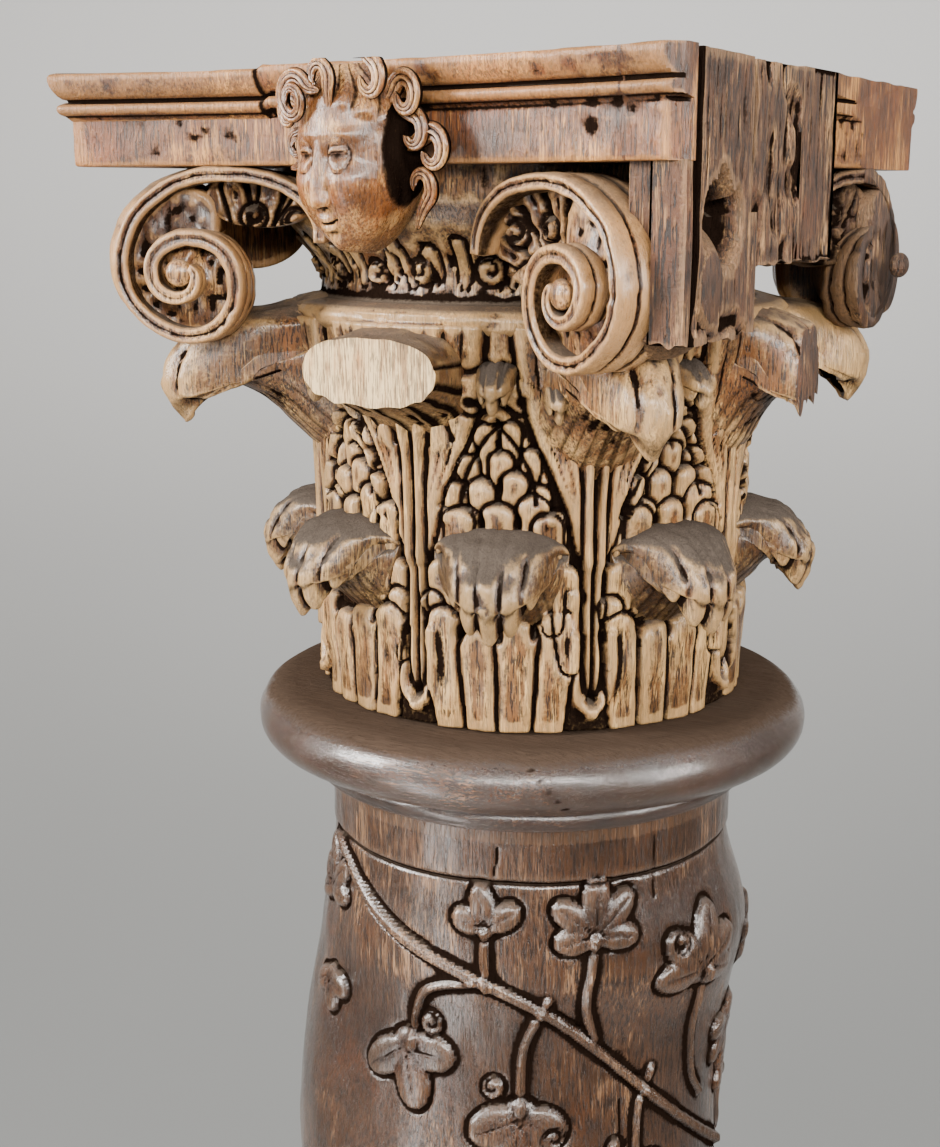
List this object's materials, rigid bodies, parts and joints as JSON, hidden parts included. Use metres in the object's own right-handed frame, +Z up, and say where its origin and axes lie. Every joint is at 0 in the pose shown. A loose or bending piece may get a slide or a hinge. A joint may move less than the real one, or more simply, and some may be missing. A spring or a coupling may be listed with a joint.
{
  "type": "barley twist column",
  "caption": "Carved oak barley twist column with vine relief, turned ring and a composite capital with scrolls, leaves and a cherub head.",
  "frame": {"origin": "centre of the plinth's underside, on the column's axis", "axes": "+Z up along the column; -Y is the front with the cherub head; +X is the sawn, unfinished side"},
  "size_m": [0.261, 0.2661, 1.526],
  "materials": {
    "base_oak": "dark waxed oak",
    "shaft_oak": "dark waxed oak, worn",
    "ring_oak": "polished dark oak",
    "capital_oak": "worn carved oak with dust in the hollows"
  },
  "bodies": {
    "root": {"plinth": "base_oak", "turned_base": "base_oak", "twisted_shaft": "shaft_oak", "astragal_ring": "ring_oak", "capital": "capital_oak"}
  },
  "joints": []
}
